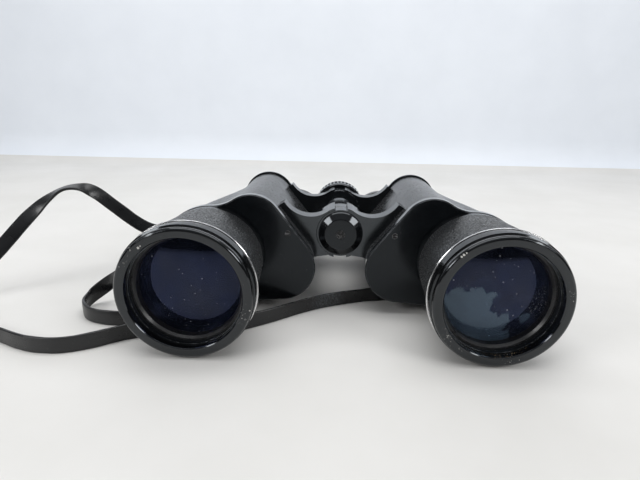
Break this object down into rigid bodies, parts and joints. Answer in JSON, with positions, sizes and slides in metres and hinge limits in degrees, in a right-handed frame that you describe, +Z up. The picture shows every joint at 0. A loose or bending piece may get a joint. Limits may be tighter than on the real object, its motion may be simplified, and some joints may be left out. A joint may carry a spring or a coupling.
{
  "type": "porro-prism binoculars",
  "caption": "Full-size Porro-prism binoculars with centre hinge, centre focusing wheel, dioptre ring, coated objectives and thin neck strap.",
  "frame": {"origin": "on the hinge axis, in the front face of the hinge cap", "axes": "+Y from the objectives towards the eyes along the optical axes, +X towards the barrel of the left eye, +Z up as the binoculars lie on a table"},
  "size_m": [0.3307, 0.1738, 0.0649],
  "materials": {
    "cast_black": "satin black stove enamel on an aluminium die casting, worn to grey on its edges",
    "cover_black": "smooth satin black enamel on aluminium sheet",
    "gloss_black": "gloss black enamel on turned aluminium, with small chips",
    "grained_skin": "fine grained leatherette, dull",
    "pebbled_skin": "coarse pebbled leatherette",
    "bright_trim": "thin bright ring",
    "black_alloy": "black anodised",
    "bright_steel": "turned steel",
    "blackened_screw": "blackened steel",
    "spring_steel": "spring strip",
    "thrust_brass": "plain",
    "coated_glass": "blue-violet coated optical glass",
    "prism_glass": "polished optical glass",
    "eyecup_plastic": "hard black plastic, slightly dulled",
    "strap_vinyl": "black vinyl with a satin sheen"
  },
  "bodies": {
    "right_half": {"right_prism_housing": "cast_black", "right_housing_covering": "grained_skin", "right_front_cover": "cover_black", "right_rear_cover": "cover_black", "right_cover_screws": "blackened_screw", "right_objective_tube": "cast_black", "right_tube_covering": "pebbled_skin", "right_trim_ring": "bright_trim", "right_objective_bezel": "gloss_black", "right_lens_retaining_ring": "black_alloy", "right_objective_crown_lens": "coated_glass", "right_objective_flint_lens": "coated_glass", "right_prism_plate": "black_alloy", "right_front_prism": "prism_glass", "right_rear_prism": "prism_glass", "right_prism_clips": "spring_steel", "right_strap_lug": "cast_black", "right_ocular_guide_sleeve": "black_alloy", "hinge_axle": "bright_steel", "hinge_post": "cast_black", "hinge_cap": "gloss_black", "hinge_cap_screw": "blackened_screw", "thrust_washers": "thrust_brass", "neck_strap": "strap_vinyl"},
    "left_half": {"left_prism_housing": "cast_black", "left_housing_covering": "grained_skin", "left_front_cover": "cover_black", "left_rear_cover": "cover_black", "left_cover_screws": "blackened_screw", "left_objective_tube": "cast_black", "left_tube_covering": "pebbled_skin", "left_trim_ring": "bright_trim", "left_objective_bezel": "gloss_black", "left_lens_retaining_ring": "black_alloy", "left_objective_crown_lens": "coated_glass", "left_objective_flint_lens": "coated_glass", "left_prism_plate": "black_alloy", "left_front_prism": "prism_glass", "left_rear_prism": "prism_glass", "left_prism_clips": "spring_steel", "left_strap_lug": "cast_black", "left_ocular_guide_sleeve": "black_alloy", "neck_strap_left_end": "strap_vinyl"},
    "focus_wheel": {"focus_wheel": "gloss_black"},
    "focus_spindle": {"focus_spindle": "bright_steel", "bridge_screw": "gloss_black"},
    "right_eyepiece": {"right_ocular_arm": "cast_black", "right_ocular_barrel": "black_alloy"},
    "right_ocular": {"right_ocular_cell": "black_alloy", "right_field_lens": "coated_glass", "right_eye_lens": "coated_glass", "right_eyecup": "eyecup_plastic"},
    "diopter_ring": {"diopter_ring": "black_alloy"},
    "left_eyepiece": {"left_ocular_arm": "cast_black", "left_ocular_barrel": "black_alloy", "left_eyepiece_ring": "black_alloy", "left_ocular_cell": "black_alloy", "left_field_lens": "coated_glass", "left_eye_lens": "coated_glass", "left_eyecup": "eyecup_plastic"}
  },
  "joints": [
    {"name": "interpupillary_fold", "type": "hinge", "parent": "right_half", "child": "left_half", "pos_m": [0, 0, 0], "axis": [0, 1, 0], "range_deg": [-27, 24]},
    {"name": "focus_wheel_turn", "type": "hinge", "parent": "right_half", "child": "focus_wheel", "pos_m": [0, 0.074, 0], "axis": [0, 1, 0], "range_deg": [-135, 225]},
    {"name": "focus_spindle_travel", "type": "slide", "parent": "right_half", "child": "focus_spindle", "axis": [0, 1, 0], "range_m": [-0.00301, 0.00501]},
    {"name": "right_eyepiece_travel", "type": "slide", "parent": "right_half", "child": "right_eyepiece", "axis": [0, 1, 0], "range_m": [-0.00301, 0.00501]},
    {"name": "left_eyepiece_travel", "type": "slide", "parent": "left_half", "child": "left_eyepiece", "axis": [0, 1, 0], "range_m": [-0.00301, 0.00501]},
    {"name": "diopter_turn", "type": "hinge", "parent": "right_eyepiece", "child": "diopter_ring", "pos_m": [-0.0319, 0.0976, -0.0158], "axis": [0, 1, 0], "range_deg": [-75, 75]},
    {"name": "diopter_travel", "type": "slide", "parent": "right_eyepiece", "child": "right_ocular", "axis": [0, 1, 0], "range_m": [-0.00151, 0.00151]}
  ],
  "couplings": [
    {"joint": "focus_spindle_travel", "follows": "focus_wheel_turn", "m_per_rad": 0.0012732},
    {"joint": "right_eyepiece_travel", "follows": "focus_wheel_turn", "m_per_rad": 0.0012732},
    {"joint": "left_eyepiece_travel", "follows": "focus_wheel_turn", "m_per_rad": 0.0012732},
    {"joint": "diopter_travel", "follows": "diopter_turn", "m_per_rad": 0.0011459}
  ]
}
